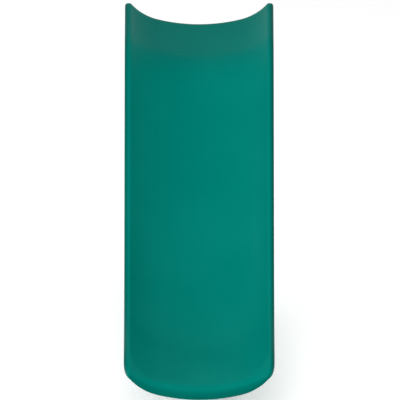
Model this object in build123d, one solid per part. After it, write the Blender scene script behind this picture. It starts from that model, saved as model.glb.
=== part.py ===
from build123d import *
import os
from math import cos, radians, sin, sqrt

# Straight playground slide: a moulded trough on a light steel underframe.
# Millimetres. X runs across the slide, the rider travels towards -Y, +Z is up.
# The origin is the centre of the deck bolt pattern, on the face that lies against the deck.

# ---- heights and lengths of the ride
deck_height = 914.0          # deck floor above the ground
exit_height = 200.0          # sliding surface above the ground at the exit
deck_bolt_drop = 58.0        # bolt pattern centre below the deck floor
entry_length = 262.0         # level sit-down stretch
exit_length = 285.0          # level run-out
slope_angle = 38.0           # steepness of the straight run, degrees
entry_bend_radius = 300.0    # crest, measured to the sliding surface
exit_bend_radius = 762.0     # hollow, measured to the sliding surface

# ---- the trough's cross-section
overall_width = 630.0
side_height = 102.0          # rim top above the middle of the bed
bed_edge_angle = 15.4        # slope where the bed's arc meets the side's arc, degrees
wall_angle = 51.2            # slope where the side's arc meets the rim, degrees
rim_radius = 14.0            # rolled rim, outside
rim_flat = 3.5               # level strip on top of the rim
rim_drop = 32.0              # rim's outer skirt, measured down from the rim top
wall = 6.0                   # moulding thickness

# ---- the trough's ends
lip_radius = 42.0            # rolled exit lip, outside
lip_skirt = 8.0              # straight skirt under the lip
corner_across = 28.0         # exit corner rounding, across the slide
corner_along = 93.0          # exit corner rounding, along the slide
end_flange = 44.0            # moulded flange at the deck end, depth below the bed

# ---- moulded bosses under the trough
boss_x = 100.0               # boss centre from the middle
boss_width = 60.0
boss_length = 50.0
boss_depth = 26.0            # boss underside below the bed
insert_radius = 6.0
insert_length = 16.0
bolt_short_of_insert = 2.0   # bolt end below the top of its insert

# ---- underframe
strip_thickness = 3.0        # rubber strip on each bearer
bearer_width = 50.0
bearer_depth = 25.0
bearer_wall = 2.5
rail_x = 150.0               # rail centre from the middle
rail_width = 30.0
rail_depth = 50.0
rail_wall = 3.0
rail_setback = 115.0         # rail end behind the end of the run-out
slope_bearers = 3            # bearers on the straight run
entry_bearer_at = 140.0      # from the deck end
exit_bearer_back = 150.0     # from the end of the run-out
tube_corner = 3.0            # outer corner radius of the box tubes
cap_flange = 3.0             # thickness of a tube cap's head
cap_plug = 10.0              # depth of a tube cap's plug

# ---- deck bracket
bracket_thickness = 6.0
bracket_width = 540.0
bracket_below_rail = 14.0    # plate carries on this far below the rails
bracket_top_gap = 9.0        # plate edge below the sliding surface
bracket_corner = 15.0
deck_hole_radius = 5.5
deck_hole_spacing_x = 460.0
deck_hole_spacing_z = 60.0
flange_bolt_xs = (80.0, 210.0)
flange_bolt_depth = 27.0     # screw line below the sliding surface

# ---- exit legs, each standing against the inner face of its rail
leg_back = 320.0             # leg centre behind the end of the run-out
leg_size = 40.0
leg_wall = 3.0
leg_bolt_spacing = 24.0      # between a leg's two bolts, one above the other
leg_above_rail = 8.0         # leg carries on this far above its rail
base_plate_size = 100.0
base_plate_thickness = 8.0
base_plate_corner = 10.0
anchor_spacing = 72.0
anchor_hole_radius = 6.5
brace_width = 30.0
brace_height = 20.0
brace_wall = 2.0

# ---- fasteners
thread_radius = 4.0          # M8
hole_clearance = 0.5         # clearance hole beyond the thread's radius
fit_clearance = 0.15         # thread in its insert, insert in its boss, cap in its tube
head_across_flats = 13.0
head_height = 5.3
nut_height = 6.5
washer_radius = 8.0
washer_thickness = 1.6
countersink_radius = 7.6
countersink_depth = 3.6
thread_beyond_nut = 3.0

bed_z = deck_bolt_drop
ground_z = bed_z - deck_height
exit_z = ground_z + exit_height
deck_end_y = -bracket_thickness
half_width = overall_width / 2
down_ride = (0, -1, 0)
hole_radius = thread_radius + hole_clearance
strip_top = -boss_depth
bearer_top = strip_top - strip_thickness
rail_top = bearer_top - bearer_depth
rail_bottom = rail_top - rail_depth


def fit_section():
    """Bed and side radii that join at the two stated slopes and reach the stated width and height."""
    rim_x = half_width - rim_radius - rim_flat
    rim_z = side_height - rim_radius
    s1, c1 = sin(radians(bed_edge_angle)), cos(radians(bed_edge_angle))
    s2, c2 = sin(radians(wall_angle)), cos(radians(wall_angle))
    reach = rim_x - rim_radius * s2
    rise = rim_z + rim_radius * c2
    det = s1 * (c1 - c2) - (1 - c1) * (s2 - s1)
    bed = (reach * (c1 - c2) - rise * (s2 - s1)) / det
    side = (s1 * rise - (1 - c1) * reach) / det
    return bed, side, rim_x, rim_z


bed_radius, side_radius, rim_x, rim_z = fit_section()


def fit_slope():
    """Length of the straight run that makes up the height left by the two bends."""
    bends = (entry_bend_radius + exit_bend_radius) * (1 - cos(radians(slope_angle)))
    return (bed_z - exit_z - bends) / sin(radians(slope_angle))


slope_length = fit_slope()
entry_end_y = deck_end_y - entry_length
slope_sin, slope_cos = sin(radians(slope_angle)), cos(radians(slope_angle))
slope_start = (entry_end_y - entry_bend_radius * slope_sin,
               bed_z - entry_bend_radius * (1 - slope_cos))
slope_end = (slope_start[0] - slope_length * slope_cos, slope_start[1] - slope_length * slope_sin)
exit_start_y = slope_end[0] - exit_bend_radius * slope_sin
exit_end_y = exit_start_y - exit_length


def bed_height(x):
    """Height of the sliding surface above the middle of the bed, within the bed and side arcs."""
    edge = bed_radius * sin(radians(bed_edge_angle))
    if abs(x) <= edge:
        return bed_radius - sqrt(bed_radius ** 2 - x ** 2)
    centre_x = (bed_radius - side_radius) * sin(radians(bed_edge_angle))
    centre_z = bed_radius - (bed_radius - side_radius) * cos(radians(bed_edge_angle))
    return centre_z - sqrt(side_radius ** 2 - (abs(x) - centre_x) ** 2)


# ---- frames on the sliding surface: local x across, y uphill, z out of the surface
def surface_frame(y, z, angle):
    return Plane(origin=(0, y, z), x_dir=(1, 0, 0),
                 z_dir=(0, -sin(radians(angle)), cos(radians(angle))))


def entry_frame(along):
    return surface_frame(deck_end_y - along, bed_z, 0)


def slope_frame(along):
    return surface_frame(slope_start[0] - along * slope_cos, slope_start[1] - along * slope_sin, slope_angle)


def exit_frame(back):
    return surface_frame(exit_end_y + back, exit_z, 0)


def bearer_frames():
    frames = [entry_frame(entry_bearer_at)]
    for k in range(slope_bearers):
        frames.append(slope_frame(slope_length * (k + 0.5) / slope_bearers))
    frames.append(exit_frame(exit_bearer_back))
    return frames


def ride_path(drop, end_back):
    """Side-view line of the ride, drop below the sliding surface, stopping end_back before the exit."""
    half = radians(slope_angle / 2)
    crest = entry_bend_radius - drop
    hollow = exit_bend_radius + drop
    crest_z = bed_z - entry_bend_radius
    hollow_z = exit_z + exit_bend_radius
    a = (0, deck_end_y, bed_z - drop)
    b = (0, entry_end_y, bed_z - drop)
    b_mid = (0, entry_end_y - crest * sin(half), crest_z + crest * cos(half))
    c = (0, entry_end_y - crest * slope_sin, crest_z + crest * slope_cos)
    d = (0, exit_start_y + hollow * slope_sin, hollow_z - hollow * slope_cos)
    d_mid = (0, exit_start_y + hollow * sin(half), hollow_z - hollow * cos(half))
    e = (0, exit_start_y, exit_z - drop)
    f = (0, exit_end_y + end_back, exit_z - drop)
    return Wire([Line(a, b), ThreePointArc(b, b_mid, c), Line(c, d), ThreePointArc(d, d_mid, e), Line(e, f)])


# ---- the trough
def arc_point(depth, angle):
    """Point of the section, depth below the sliding surface, where its slope is angle; left is negative."""
    side = -1 if angle < 0 else 1
    steep = abs(angle)
    s1, c1 = sin(radians(bed_edge_angle)), cos(radians(bed_edge_angle))
    s, c = sin(radians(steep)), cos(radians(steep))
    if steep <= bed_edge_angle:
        return (side * (bed_radius + depth) * s, bed_radius - (bed_radius + depth) * c)
    centre = ((bed_radius - side_radius) * s1, bed_radius - (bed_radius - side_radius) * c1)
    return (side * (centre[0] + (side_radius + depth) * s), centre[1] - (side_radius + depth) * c)


def section_arcs(depth):
    """Left side, bed and right side arcs at one depth below the sliding surface."""
    middle = (bed_edge_angle + wall_angle) / 2
    p = [arc_point(depth, a) for a in (-wall_angle, -middle, -bed_edge_angle, 0,
                                       bed_edge_angle, middle, wall_angle)]
    return [ThreePointArc(p[0], p[1], p[2]), ThreePointArc(p[2], p[3], p[4]), ThreePointArc(p[4], p[5], p[6])]


def rim_edges(side, depth):
    """Rolled rim from the wall over the top to the foot of its skirt, at one depth inside the skin."""
    r = rim_radius - depth
    turn = radians(wall_angle)
    centre_in = (side * rim_x, rim_z)
    centre_out = (side * (rim_x + rim_flat), rim_z)
    start = (centre_in[0] - side * r * sin(turn), rim_z + r * cos(turn))
    mid = (centre_in[0] - side * r * sin(turn / 2), rim_z + r * cos(turn / 2))
    top_in = (centre_in[0], rim_z + r)
    top_out = (centre_out[0], rim_z + r)
    over = (centre_out[0] + side * r * sin(radians(45)), rim_z + r * cos(radians(45)))
    side_top = (centre_out[0] + side * r, rim_z)
    foot = (side_top[0], side_height - rim_drop)
    edges = [ThreePointArc(start, mid, top_in), Line(top_in, top_out),
             ThreePointArc(top_out, over, side_top), Line(side_top, foot)]
    return edges, foot


def section_face():
    """The moulding's full cross-section: one skin thick, rolled over at both rims."""
    edges = []
    feet = {}
    for depth in (0.0, wall):
        edges += section_arcs(depth)
        for side in (-1, 1):
            rim, foot = rim_edges(side, depth)
            edges += rim
            feet[side, depth] = foot
    for side in (-1, 1):
        edges.append(Line(feet[side, 0.0], feet[side, wall]))
    return make_face(Wire(edges))


def section_band(top_depth, bottom_depth):
    """Strip of the section between two depths, between the two rims."""
    upper = section_arcs(top_depth)
    lower = section_arcs(bottom_depth)
    left = Line(arc_point(top_depth, -wall_angle), arc_point(bottom_depth, -wall_angle))
    right = Line(arc_point(top_depth, wall_angle), arc_point(bottom_depth, wall_angle))
    return make_face(Wire(upper + lower + [left, right]))


def cross_plane(y, z):
    """Upright plane across the slide; its local y is up and its normal points down the ride."""
    return Plane(origin=(0, y, z), x_dir=(1, 0, 0), z_dir=(0, -1, 0))


def lip_profile():
    """Skin of the rolled lip: local x points down the ride, local y out of the trough's underside."""
    inner = lip_radius - wall
    quarter = sin(radians(45))
    bottom = lip_radius + lip_skirt
    edges = [
        ThreePointArc((0, 0), (lip_radius * quarter, lip_radius * (1 - quarter)), (lip_radius, lip_radius)),
        Line((lip_radius, lip_radius), (lip_radius, bottom)),
        Line((lip_radius, bottom), (inner, bottom)),
        Line((inner, bottom), (inner, lip_radius)),
        ThreePointArc((inner, lip_radius), (inner * quarter, lip_radius - inner * quarter), (0, wall)),
        Line((0, wall), (0, 0)),
    ]
    return make_face(Wire(edges))


def make_lip():
    """Exit lip: a quarter roll turned about the centre of each arc of the section."""
    pieces = []
    s1, c1 = sin(radians(bed_edge_angle)), cos(radians(bed_edge_angle))
    side_x = (bed_radius - side_radius) * s1
    side_z = bed_radius - (bed_radius - side_radius) * c1
    arcs = [(0, bed_radius, -bed_edge_angle, 2 * bed_edge_angle),
            (side_x, side_z, bed_edge_angle, wall_angle - bed_edge_angle),
            (-side_x, side_z, -wall_angle, wall_angle - bed_edge_angle)]
    for x, z, first, turn in arcs:
        start = arc_point(0, first)
        out = (sin(radians(first)), 0, -cos(radians(first)))
        along = (-out[2], 0, out[0])
        plane = Plane(origin=(start[0], exit_end_y, exit_z + start[1]), x_dir=down_ride, z_dir=along)
        axis = Axis((x, exit_end_y, exit_z + z), (0, -1, 0))
        pieces.append(revolve(plane * lip_profile(), axis=axis, revolution_arc=turn))
    return pieces[0] + pieces[1] + pieces[2]


def make_rim_end(side):
    """Solid end of one rim, between the end of the lip and the rim's outer side."""
    rolled = rim_edges(side, 0)[0][:3]
    start = arc_point(0, side * wall_angle)
    depth = (half_width - abs(start[0])) / sin(radians(wall_angle))
    crossing = arc_point(depth, side * wall_angle)
    closing = [Line((side * half_width, rim_z), crossing), Line(crossing, start)]
    face = make_face(Wire(rolled + closing))
    return extrude(cross_plane(exit_end_y, exit_z) * face, lip_radius, dir=down_ride)


def make_corner_cut(side):
    """What the rounded exit corner takes off: all that stands outside an upright elliptical quarter."""
    tip_y = exit_end_y - lip_radius
    low = exit_z - lip_radius - lip_skirt
    tall = side_height + lip_radius + lip_skirt + rim_drop
    beyond = corner_across + lip_radius + lip_skirt
    inner = Align.MIN if side > 0 else Align.MAX
    block = Box(beyond, corner_along + lip_radius, tall, align=(inner, Align.MIN, Align.MIN))
    kept_strip = Pos(0, corner_along, 0) * Box(corner_across, lip_radius, tall,
                                               align=(inner, Align.MIN, Align.MIN))
    kept_quarter = Pos(0, corner_along, 0) * extrude(Ellipse(corner_across, corner_along), tall)
    cut = block - kept_strip - kept_quarter
    return Pos(side * (half_width - corner_across), tip_y, low) * cut


def make_boss(frame, x):
    """One moulded boss, flat underneath, its top melting into the skin."""
    rise = bed_height(boss_x + boss_width / 2)
    block = Pos(x, 0, -boss_depth) * Box(boss_width, boss_length, boss_depth + rise,
                                         align=(Align.CENTER, Align.CENTER, Align.MIN))
    above = Pos(0, 0, bed_radius) * Rot(90, 0, 0) * Cylinder(bed_radius + wall / 2, 2 * boss_length)
    socket = Pos(x, 0, -boss_depth) * Cylinder(insert_radius + fit_clearance, insert_length,
                                              align=(Align.CENTER, Align.CENTER, Align.MIN))
    return frame * (block - above - socket)


def flange_spots(y):
    """Centres of the screws between the end flange and the bracket."""
    return [Pos(side * x, y, bed_z + bed_height(x) - flange_bolt_depth)
            for x in flange_bolt_xs for side in (-1, 1)]


def flange_holes(y, length):
    return [spot * Rot(90, 0, 0) * Cylinder(hole_radius, length) for spot in flange_spots(y)]


def make_end_flange():
    """Moulded flange that hangs from the trough's deck end, between the rims."""
    band = extrude(cross_plane(deck_end_y, bed_z) * section_band(wall / 2, end_flange), wall, dir=down_ride)
    return band & Pos(0, deck_end_y, bed_z) * Box(2 * rim_x, 4 * wall, 4 * side_height)


def make_chute():
    body = sweep(cross_plane(deck_end_y, bed_z) * section_face(), path=ride_path(0, 0))
    body += make_lip()
    for side in (-1, 1):
        body += make_rim_end(side)
        body -= make_corner_cut(side)
    body += make_end_flange()
    for frame in bearer_frames():
        for x in (-boss_x, boss_x):
            body += make_boss(frame, x)
    for hole in flange_holes(deck_end_y, 4 * wall):
        body -= hole
    return body


# ---- underframe
def tube_face(width, depth, thickness):
    outer = RectangleRounded(width, depth, tube_corner)
    return outer - Rectangle(width - 2 * thickness, depth - 2 * thickness)


def make_rail(side):
    middle = (rail_top + rail_bottom) / 2
    path = ride_path(-middle, rail_setback)
    face = Pos(side * rail_x, 0) * tube_face(rail_width, rail_depth, rail_wall)
    rail = sweep(cross_plane(deck_end_y, bed_z + middle) * face, path=Pos(side * rail_x, 0, 0) * path)
    for hole in leg_bolt_holes(side):
        rail -= hole
    return rail


def make_bearer(frame):
    length = 2 * rail_x + rail_width
    face = tube_face(bearer_width, bearer_depth, bearer_wall)
    across = Plane(origin=(-length / 2, 0, bearer_top - bearer_depth / 2), x_dir=(0, 1, 0), z_dir=(1, 0, 0))
    tube = extrude(across * face, length)
    for x in (-boss_x, boss_x):
        tube -= Pos(x, 0, bearer_top) * Cylinder(hole_radius, 3 * bearer_depth)
    return frame * tube


def make_strip(frame):
    length = 2 * boss_x + boss_width
    strip = Pos(0, 0, bearer_top) * Box(length, bearer_width, strip_thickness,
                                        align=(Align.CENTER, Align.CENTER, Align.MIN))
    for x in (-boss_x, boss_x):
        strip -= Pos(x, 0, bearer_top) * Cylinder(hole_radius, 3 * strip_thickness)
    return frame * strip


def make_cap(width, depth, thickness):
    """Tube cap with its head in the XY plane and its plug along -Z."""
    head = extrude(RectangleRounded(width, depth, tube_corner), cap_flange)
    gap = 2 * (thickness + fit_clearance)
    plug = Box(width - gap, depth - gap, cap_plug, align=(Align.CENTER, Align.CENTER, Align.MAX))
    return head + plug


def make_bearer_caps():
    caps = []
    reach = rail_x + rail_width / 2
    for frame in bearer_frames():
        for side in (-1, 1):
            end = Plane(origin=(side * reach, 0, bearer_top - bearer_depth / 2),
                        x_dir=(0, 1, 0), z_dir=(side, 0, 0))
            caps.append(frame * (end * make_cap(bearer_width, bearer_depth, bearer_wall)))
    return caps


def make_rail_cap(side):
    middle = (rail_top + rail_bottom) / 2
    end = Plane(origin=(side * rail_x, exit_end_y + rail_setback, exit_z + middle),
                x_dir=(1, 0, 0), z_dir=(0, -1, 0))
    return end * make_cap(rail_width, rail_depth, rail_wall)


def make_bracket():
    """Upright plate against the deck, its top edge following the trough just under the surface."""
    low = rail_bottom - bracket_below_rail
    tall = side_height - low
    outline = Pos(0, low + tall / 2) * RectangleRounded(bracket_width, tall, bracket_corner)
    plate = extrude(cross_plane(0, bed_z) * outline, bracket_thickness, dir=down_ride)
    right, left = arc_point(bracket_top_gap, wall_angle), arc_point(bracket_top_gap, -wall_angle)
    high = 2 * side_height
    over = Polyline(right, (half_width, right[1]), (half_width, high), (-half_width, high),
                    (-half_width, left[1]), left)
    opening = make_face(Wire(section_arcs(bracket_top_gap) + list(over.edges())))
    plate -= extrude(cross_plane(bracket_thickness, bed_z) * opening, 3 * bracket_thickness, dir=down_ride)
    for x in (-deck_hole_spacing_x / 2, deck_hole_spacing_x / 2):
        for z in (-deck_hole_spacing_z / 2, deck_hole_spacing_z / 2):
            plate -= Pos(x, 0, z) * Rot(90, 0, 0) * Cylinder(deck_hole_radius, 4 * bracket_thickness)
    for hole in flange_holes(0, 4 * bracket_thickness):
        plate -= hole
    for spot in flange_spots(0):
        plate -= spot * countersink(hole_clearance)
    return plate


def countersink(clearance):
    """Cone with its mouth at y = 0, narrowing towards -Y."""
    cone = Cone(thread_radius + clearance, countersink_radius + clearance, countersink_depth,
                align=(Align.CENTER, Align.CENTER, Align.MAX))
    return Rot(-90, 0, 0) * cone


# ---- legs
leg_x = rail_x - rail_width / 2 - leg_size / 2
leg_y = exit_end_y + leg_back


def leg_bolt_spots(side):
    """Places on the rail's outer face, local z pointing in through the rail and the leg."""
    middle = exit_z + (rail_top + rail_bottom) / 2 + rail_rise(leg_back)
    spots = []
    for z in (middle - leg_bolt_spacing / 2, middle + leg_bolt_spacing / 2):
        spots.append(Plane(origin=(side * (rail_x + rail_width / 2), leg_y, z), x_dir=(0, 1, 0),
                           z_dir=(-side, 0, 0)))
    return spots


def rail_rise(back):
    """How far a rail has risen above its level end, back behind the end of the run-out."""
    into_bend = max(0.0, back - exit_length)
    hollow = exit_bend_radius - (rail_top + rail_bottom) / 2
    return hollow - sqrt(hollow ** 2 - into_bend ** 2)


def leg_bolt_holes(side):
    reach = 2 * (rail_width + leg_size)
    return [spot * Cylinder(hole_radius, 2 * reach) for spot in leg_bolt_spots(side)]


def leg_top():
    return exit_z + rail_top + rail_rise(leg_back) + leg_above_rail


def make_leg(side):
    bottom = ground_z + base_plate_thickness
    face = Pos(side * leg_x, leg_y) * tube_face(leg_size, leg_size, leg_wall)
    leg = extrude(Pos(0, 0, bottom) * face, leg_top() - bottom)
    for hole in leg_bolt_holes(side):
        leg -= hole
    return leg


def make_leg_cap(side):
    return Pos(side * leg_x, leg_y, leg_top()) * make_cap(leg_size, leg_size, leg_wall)


def make_base_plate(side):
    outline = RectangleRounded(base_plate_size, base_plate_size, base_plate_corner)
    plate = Pos(side * leg_x, leg_y, ground_z) * extrude(outline, base_plate_thickness)
    reach = anchor_spacing / 2
    for x in (-reach, reach):
        for y in (-reach, reach):
            plate -= Pos(side * leg_x + x, leg_y + y, ground_z) * Cylinder(
                anchor_hole_radius, 4 * base_plate_thickness)
    return plate


def make_brace():
    length = 2 * leg_x - leg_size
    height = (ground_z + base_plate_thickness + exit_z + rail_bottom) / 2
    across = Plane(origin=(-length / 2, leg_y, height), x_dir=(0, 1, 0), z_dir=(1, 0, 0))
    return extrude(across * tube_face(brace_width, brace_height, brace_wall), length)


# ---- fasteners, each made pointing up from the underside of its head
def hexagon(height):
    return extrude(RegularPolygon(head_across_flats / 2, 6, major_radius=False), height)


def make_bolt(length):
    shank = Cylinder(thread_radius, length, align=(Align.CENTER, Align.CENTER, Align.MIN))
    return shank + Pos(0, 0, -head_height) * hexagon(head_height)


def make_washer():
    ring = Circle(washer_radius) - Circle(hole_radius)
    return extrude(ring, washer_thickness)


def make_nut():
    return hexagon(nut_height) - Cylinder(thread_radius + fit_clearance, 4 * nut_height)


def make_insert():
    body = Cylinder(insert_radius, insert_length, align=(Align.CENTER, Align.CENTER, Align.MIN))
    return body - Cylinder(thread_radius + fit_clearance, 4 * insert_length)


def at_bosses(piece, depth):
    """Copies of a piece at every boss, depth below the sliding surface."""
    spots = [(frame, x) for frame in bearer_frames() for x in (-boss_x, boss_x)]
    return [frame * (Pos(x, 0, -depth) * piece) for frame, x in spots]


def at_legs(piece, inward):
    """Copies of a piece at every leg bolt, inward of the rail's outer face."""
    spots = [spot for side in (-1, 1) for spot in leg_bolt_spots(side)]
    return [spot * (Pos(0, 0, inward) * piece) for spot in spots]


def at_flange(piece, y):
    """Copies of a piece at the flange screws, its +Z turned to face down the ride."""
    return [spot * Rot(90, 0, 0) * piece for spot in flange_spots(y)]


def make_screw():
    """Countersunk screw from the deck side, pointing down the ride from y = 0."""
    reach = bracket_thickness + wall + washer_thickness + nut_height + thread_beyond_nut
    shank = Cylinder(thread_radius, reach, align=(Align.CENTER, Align.CENTER, Align.MIN))
    head = Cone(countersink_radius, thread_radius, countersink_depth,
                align=(Align.CENTER, Align.CENTER, Align.MIN))
    return shank + head


def write(name, shape):
    solids = Compound(children=shape) if isinstance(shape, list) else shape
    export_step(solids, os.path.join("parts", name + ".step"))
    print(name)


def main():
    os.makedirs("parts", exist_ok=True)
    write("chute", make_chute())
    write("deck_bracket", make_bracket())
    for number, frame in enumerate(bearer_frames(), 1):
        write(f"bearer_{number}", make_bearer(frame))
        write(f"rubber_strip_{number}", make_strip(frame))
    for side, word in ((-1, "left"), (1, "right")):
        write(word + "_rail", make_rail(side))
        write(word + "_rail_cap", make_rail_cap(side))
        write(word + "_leg", make_leg(side))
        write(word + "_leg_cap", make_leg_cap(side))
        write(word + "_base_plate", make_base_plate(side))
    write("leg_brace", make_brace())
    write("bearer_caps", make_bearer_caps())
    bolt_seat = bearer_top - bearer_depth - washer_thickness
    bolt_length = insert_length - bolt_short_of_insert - bolt_seat - boss_depth
    write("chute_inserts", at_bosses(make_insert(), boss_depth))
    write("chute_bolts", at_bosses(make_bolt(bolt_length), -bolt_seat))
    write("chute_washers", at_bosses(make_washer(), -bolt_seat))
    write("flange_screws", at_flange(make_screw(), 0))
    write("flange_washers", at_flange(make_washer(), deck_end_y - wall))
    write("flange_nuts", at_flange(make_nut(), deck_end_y - wall - washer_thickness))
    grip = rail_width + leg_size
    leg_bolt = make_bolt(2 * washer_thickness + grip + nut_height + thread_beyond_nut)
    write("leg_bolts", at_legs(leg_bolt, -washer_thickness))
    write("leg_washers", at_legs(make_washer(), -washer_thickness) + at_legs(make_washer(), grip))
    write("leg_nuts", at_legs(make_nut(), grip + washer_thickness))


main()
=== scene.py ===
import math
import bmesh
import bpy
import numpy as np
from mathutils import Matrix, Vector


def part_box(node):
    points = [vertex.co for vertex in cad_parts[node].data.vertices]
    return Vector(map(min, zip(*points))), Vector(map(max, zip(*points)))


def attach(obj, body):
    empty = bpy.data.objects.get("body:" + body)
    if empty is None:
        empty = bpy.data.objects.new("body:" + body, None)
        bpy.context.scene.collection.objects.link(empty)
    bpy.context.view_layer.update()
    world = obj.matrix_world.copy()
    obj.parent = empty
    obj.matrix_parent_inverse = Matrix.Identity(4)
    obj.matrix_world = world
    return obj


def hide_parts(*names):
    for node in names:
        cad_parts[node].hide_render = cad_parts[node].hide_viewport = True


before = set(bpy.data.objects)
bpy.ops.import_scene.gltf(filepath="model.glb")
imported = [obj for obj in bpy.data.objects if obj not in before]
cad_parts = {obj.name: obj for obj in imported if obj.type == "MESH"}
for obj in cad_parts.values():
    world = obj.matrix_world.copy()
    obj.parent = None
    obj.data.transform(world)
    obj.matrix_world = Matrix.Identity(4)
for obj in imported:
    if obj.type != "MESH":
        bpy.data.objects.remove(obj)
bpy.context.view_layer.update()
print("frame loaded", len(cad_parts), "nodes")

# the ride's side view: level entry, crest, straight run, hollow, level exit; metres, riding towards -Y
ride = {
    "deckEndY": -0.006,
    "bedZ": 0.058,
    "groundZ": -0.856,
    "exitHeight": 0.200,          # sliding surface above the ground
    "entryLength": 0.262,
    "exitLength": 0.285,
    "slopeAngle": math.radians(38.0),
    "crestRadius": 0.300,
    "hollowRadius": 0.762,
}


def rideFacts(r):
    a = r["slopeAngle"]
    exitZ = r["groundZ"] + r["exitHeight"]
    bends = (r["crestRadius"] + r["hollowRadius"]) * (1 - math.cos(a))
    run = (r["bedZ"] - exitZ - bends) / math.sin(a)
    entryEnd = r["deckEndY"] - r["entryLength"]
    slopeStart = (entryEnd - r["crestRadius"] * math.sin(a), r["bedZ"] - r["crestRadius"] * (1 - math.cos(a)))
    slopeEnd = (slopeStart[0] - run * math.cos(a), slopeStart[1] - run * math.sin(a))
    exitStart = slopeEnd[0] - r["hollowRadius"] * math.sin(a)
    return {"exitZ": exitZ, "run": run, "entryEnd": entryEnd, "slopeStart": slopeStart, "slopeEnd": slopeEnd,
            "exitStart": exitStart, "exitEnd": exitStart - r["exitLength"]}


facts = rideFacts(ride)


# a grid's faces look along (its column direction) x (its row direction), or the other way with flip
def gridFaces(rows, columns, flip=False, ringed=False):
    i = np.arange(rows - 1)[:, None]
    j = np.arange(columns if ringed else columns - 1)[None, :]
    k = (j + 1) % columns
    here, below = i * columns, (i + 1) * columns
    quads = np.stack([here + j, here + k, below + k, below + j], axis=-1).reshape(-1, 4)
    return quads[:, ::-1] if flip else quads


def addPiece(name, points, quads, materials, replaced=(), slot=None, weld=0.0, uv=None, sharp=38.0, caps=()):
    mesh = bpy.data.meshes.new(name)
    loops = np.asarray(quads).tolist() + [list(map(int, cap)) for cap in caps]
    mesh.from_pydata(np.asarray(points).reshape(-1, 3).tolist(), [], loops)
    if uv is not None:
        layer = mesh.uv_layers.new(name="surface")
        corners = np.zeros(len(mesh.loops), np.int32)
        mesh.loops.foreach_get("vertex_index", corners)
        layer.data.foreach_set("uv", np.asarray(uv).reshape(-1, 2)[corners].ravel())
    if weld:
        bm = bmesh.new()
        bm.from_mesh(mesh)
        bmesh.ops.remove_doubles(bm, verts=bm.verts, dist=weld)
        bmesh.ops.dissolve_degenerate(bm, edges=bm.edges, dist=weld / 2)
        bm.to_mesh(mesh)
        bm.free()
    for material in materials:
        mesh.materials.append(material)
    mesh.polygons.foreach_set("use_smooth", np.ones(len(mesh.polygons), bool))
    mesh.set_sharp_from_angle(angle=math.radians(sharp))
    piece = bpy.data.objects.new(name, mesh)
    bpy.context.scene.collection.objects.link(piece)
    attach(piece, "root")
    if replaced:
        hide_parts(*replaced)
    print("made", name, len(mesh.polygons), "faces")
    return piece


# many copies of one small grid: each spot is a 3x3 turn and a place
def copies(points, quads, spots):
    base = np.asarray(points).reshape(-1, 3)
    turns = np.array([s[0] for s in spots])
    places = np.array([s[1] for s in spots])
    placed = np.einsum("kij,nj->kni", turns, base) + places[:, None, :]
    faces = np.asarray(quads)[None, :, :] + (np.arange(len(spots)) * len(base))[:, None, None]
    return placed.reshape(-1, 3), faces.reshape(-1, np.asarray(quads).shape[1])


def joinGrids(grids):
    points, faces, count = [], [], 0
    for grid, quads in grids:
        flat = np.asarray(grid).reshape(-1, 3)
        points.append(flat)
        faces.append(np.asarray(quads) + count)
        count += len(flat)
    return np.concatenate(points), np.concatenate(faces)


def turnTo(xAxis, yAxis, zAxis):
    return np.array([xAxis, yAxis, zAxis], float).T


# local frames on the sliding surface: x across, y uphill, z out of the surface
def surfaceSpot(y, z, tilt, local):
    turn = turnTo((1, 0, 0), (0, math.cos(tilt), math.sin(tilt)), (0, -math.sin(tilt), math.cos(tilt)))
    return turn, np.array([0.0, y, z]) + turn @ np.array(local, float)


# materials
def newMaterial(name, colour, roughness, metallic=0.0, specular=0.5):
    material = bpy.data.materials.new(name)
    material.use_nodes = True
    shader = material.node_tree.nodes["Principled BSDF"]
    shader.inputs["Base Color"].default_value = (*colour, 1)
    shader.inputs["Roughness"].default_value = roughness
    shader.inputs["Metallic"].default_value = metallic
    shader.inputs["Specular IOR Level"].default_value = specular
    return material, shader


def addNode(material, kind, inputs=None, **settings):
    node = material.node_tree.nodes.new(kind)
    for key, value in settings.items():
        setattr(node, key, value)
    for key, value in (inputs or {}).items():
        node.inputs[key].default_value = value
    return node


def link(material, source, target):
    material.node_tree.links.new(source, target)


def noiseAt(material, vector, scale, detail=3.0, stretch=None, roughness=0.5):
    inputs = {"Scale": scale, "Detail": detail, "Roughness": roughness}
    noise = addNode(material, "ShaderNodeTexNoise", inputs)
    if stretch is not None:
        mapping = addNode(material, "ShaderNodeMapping", {"Scale": stretch})
        link(material, vector, mapping.inputs["Vector"])
        vector = mapping.outputs["Vector"]
    link(material, vector, noise.inputs["Vector"])
    return noise.outputs["Fac"]


def rampOf(material, value, low, high, start=0.0, end=1.0):
    node = addNode(material, "ShaderNodeMapRange",
                   {"From Min": start, "From Max": end, "To Min": low, "To Max": high}, clamp=True)
    link(material, value, node.inputs["Value"])
    return node.outputs["Result"]


def mixColour(material, factor, first, second, blend="MIX"):
    node = addNode(material, "ShaderNodeMix", data_type="RGBA", blend_type=blend)
    for source, socket in ((factor, node.inputs[0]), (first, node.inputs[6]), (second, node.inputs[7])):
        if isinstance(source, tuple):
            socket.default_value = (*source, 1)
        elif isinstance(source, (float, int)):
            socket.default_value = source
        else:
            link(material, source, socket)
    return node.outputs[2]


def combine(material, operation, first, second=0.0):
    node = addNode(material, "ShaderNodeMath", operation=operation)
    for source, socket in ((first, node.inputs[0]), (second, node.inputs[1])):
        if isinstance(source, (float, int)):
            socket.default_value = source
        else:
            link(material, source, socket)
    return node.outputs[0]


def addBump(material, shader, height, strength, distance):
    bump = addNode(material, "ShaderNodeBump", {"Strength": strength, "Distance": distance})
    link(material, height, bump.inputs["Height"])
    link(material, bump.outputs["Normal"], shader.inputs["Normal"])


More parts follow.
